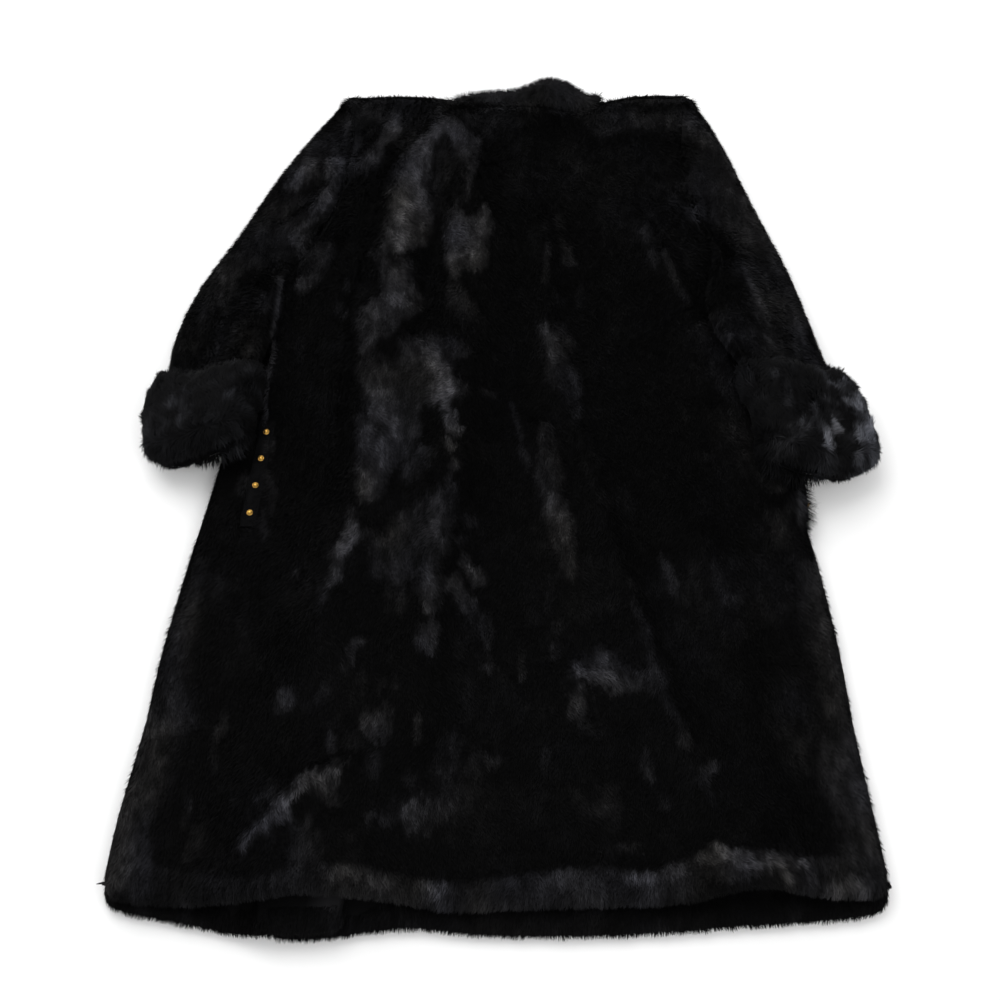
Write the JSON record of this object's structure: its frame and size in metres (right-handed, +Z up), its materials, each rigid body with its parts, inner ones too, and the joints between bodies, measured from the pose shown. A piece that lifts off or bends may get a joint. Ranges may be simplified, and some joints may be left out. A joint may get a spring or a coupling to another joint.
{
  "type": "fur coat",
  "caption": "Long plush fur coat laid flat with its back up, sleeves along its sides, turned-back cuffs and studded pockets.",
  "frame": {"origin": "on the surface the coat lies on, under the middle of its bounding box", "axes": "+X to the right of the coat as its back is seen, +Y from the hem to the neck, +Z up off the surface"},
  "size_m": [0.8924, 1.1152, 0.0936],
  "materials": {
    "back": "black plush fur, matt with a soft sheen",
    "front_left": "black plush fur, matt with a soft sheen",
    "front_right": "black plush fur, matt with a soft sheen",
    "sleeve_left": "black plush fur, matt with a soft sheen",
    "sleeve_right": "black plush fur, matt with a soft sheen",
    "collar": "black plush fur, matt with a soft sheen",
    "cuff_left": "black plush fur, fuller",
    "cuff_right": "black plush fur, fuller",
    "lining_front_left": "dark satin",
    "lining_front_right": "dark satin",
    "pocket_welt_left": "dark smooth cloth",
    "pocket_welt_right": "dark smooth cloth",
    "stud_left_1": "polished gold tone",
    "stud_left_2": "polished gold tone",
    "stud_left_3": "polished gold tone",
    "stud_left_4": "polished gold tone",
    "stud_right_1": "polished gold tone",
    "stud_right_2": "polished gold tone",
    "stud_right_3": "polished gold tone",
    "stud_right_4": "polished gold tone"
  },
  "bodies": {
    "root": {"back": "back", "front_left": "front_left", "front_right": "front_right", "sleeve_left": "sleeve_left", "sleeve_right": "sleeve_right", "collar": "collar", "cuff_left": "cuff_left", "cuff_right": "cuff_right", "lining_front_left": "lining_front_left", "lining_front_right": "lining_front_right", "pocket_welt_left": "pocket_welt_left", "pocket_welt_right": "pocket_welt_right", "stud_left_1": "stud_left_1", "stud_left_2": "stud_left_2", "stud_left_3": "stud_left_3", "stud_left_4": "stud_left_4", "stud_right_1": "stud_right_1", "stud_right_2": "stud_right_2", "stud_right_3": "stud_right_3", "stud_right_4": "stud_right_4"}
  },
  "joints": []
}
